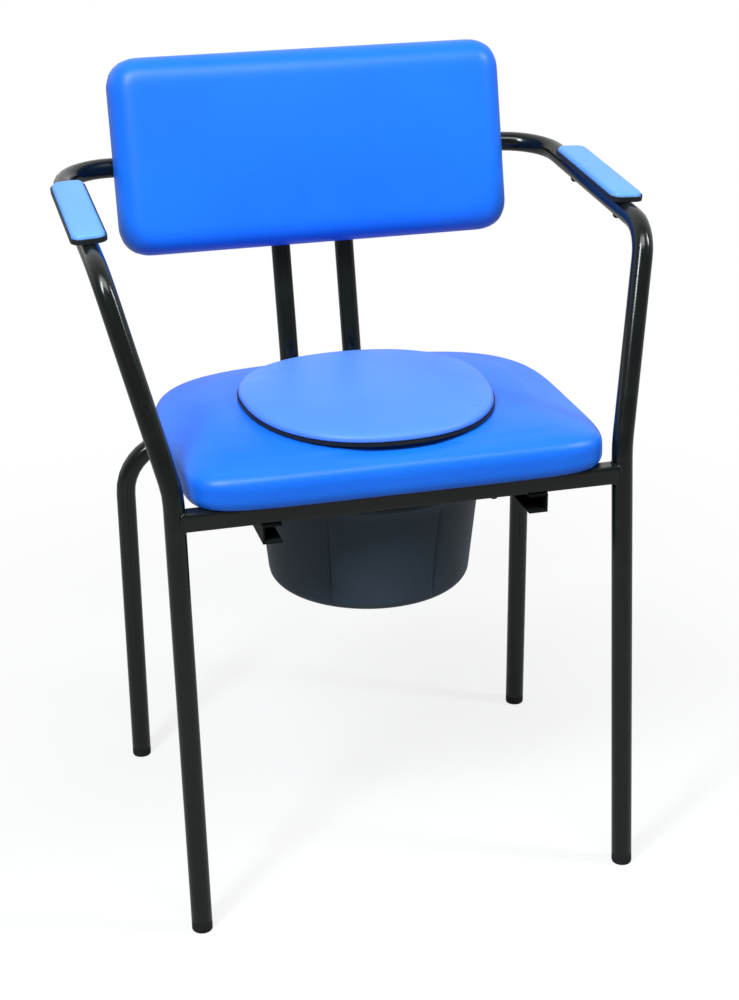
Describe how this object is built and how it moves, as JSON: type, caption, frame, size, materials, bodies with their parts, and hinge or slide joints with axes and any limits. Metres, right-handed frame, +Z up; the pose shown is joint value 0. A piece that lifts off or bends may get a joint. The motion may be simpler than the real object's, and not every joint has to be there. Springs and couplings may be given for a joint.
{
  "type": "commode chair",
  "caption": "Armchair of bent steel tube with padded vinyl seat, back and arms, a lift-off oval cover over the seat's hole and a pail that slides out under it.",
  "frame": {"origin": "on the floor, under the middle of the chair's bounding box", "axes": "+Z up; -Y is the front, where someone who sits down faces; +X is the right of someone who looks at the front"},
  "size_m": [0.6052, 0.4859, 0.8288],
  "materials": {
    "frame_paint": "glossy near-black paint",
    "blue_vinyl": "satin blue vinyl",
    "arm_vinyl": "satin blue vinyl, a little paler",
    "black_plastic": "satin black plastic",
    "pail_plastic": "matte dark grey plastic",
    "plywood": "bare plywood",
    "rubber": "matte black rubber",
    "zinc_steel": "black zinc-plated steel"
  },
  "bodies": {
    "frame": {"arm_pad_base_left": "black_plastic", "arm_pad_base_right": "black_plastic", "arm_pad_left": "arm_vinyl", "arm_pad_right": "arm_vinyl", "arm_screw_left_1": "zinc_steel", "arm_screw_left_2": "zinc_steel", "arm_screw_right_1": "zinc_steel", "arm_screw_right_2": "zinc_steel", "back_screw_high_left": "zinc_steel", "back_screw_high_right": "zinc_steel", "back_screw_low_left": "zinc_steel", "back_screw_low_right": "zinc_steel", "back_upright_left": "frame_paint", "back_upright_right": "frame_paint", "backrest_board": "black_plastic", "backrest_cushion": "blue_vinyl", "channel_stop_left": "black_plastic", "channel_stop_right": "black_plastic", "front_left_foot": "rubber", "front_leg_arm_hoop": "frame_paint", "front_rail": "frame_paint", "front_right_foot": "rubber", "pail_channel_left": "frame_paint", "pail_channel_right": "frame_paint", "rear_left_foot": "rubber", "rear_leg_hoop": "frame_paint", "rear_rail": "frame_paint", "rear_right_foot": "rubber", "seat_board": "plywood", "seat_cushion": "blue_vinyl", "seat_screw_front_left": "zinc_steel", "seat_screw_front_right": "zinc_steel", "seat_screw_rear_left": "zinc_steel", "seat_screw_rear_right": "zinc_steel", "upright_cap_left": "black_plastic", "upright_cap_right": "black_plastic"},
    "cover": {"lid_board": "black_plastic", "lid_cushion": "blue_vinyl", "lid_plug": "plywood"},
    "pail": {"pail": "pail_plastic"}
  },
  "joints": [
    {"name": "cover_lift", "type": "slide", "parent": "frame", "child": "cover", "axis": [0, 0, 1], "range_m": [0, 0.2]},
    {"name": "pail_slide", "type": "slide", "parent": "frame", "child": "pail", "axis": [0, -1, 0], "range_m": [0, 0.4]}
  ]
}
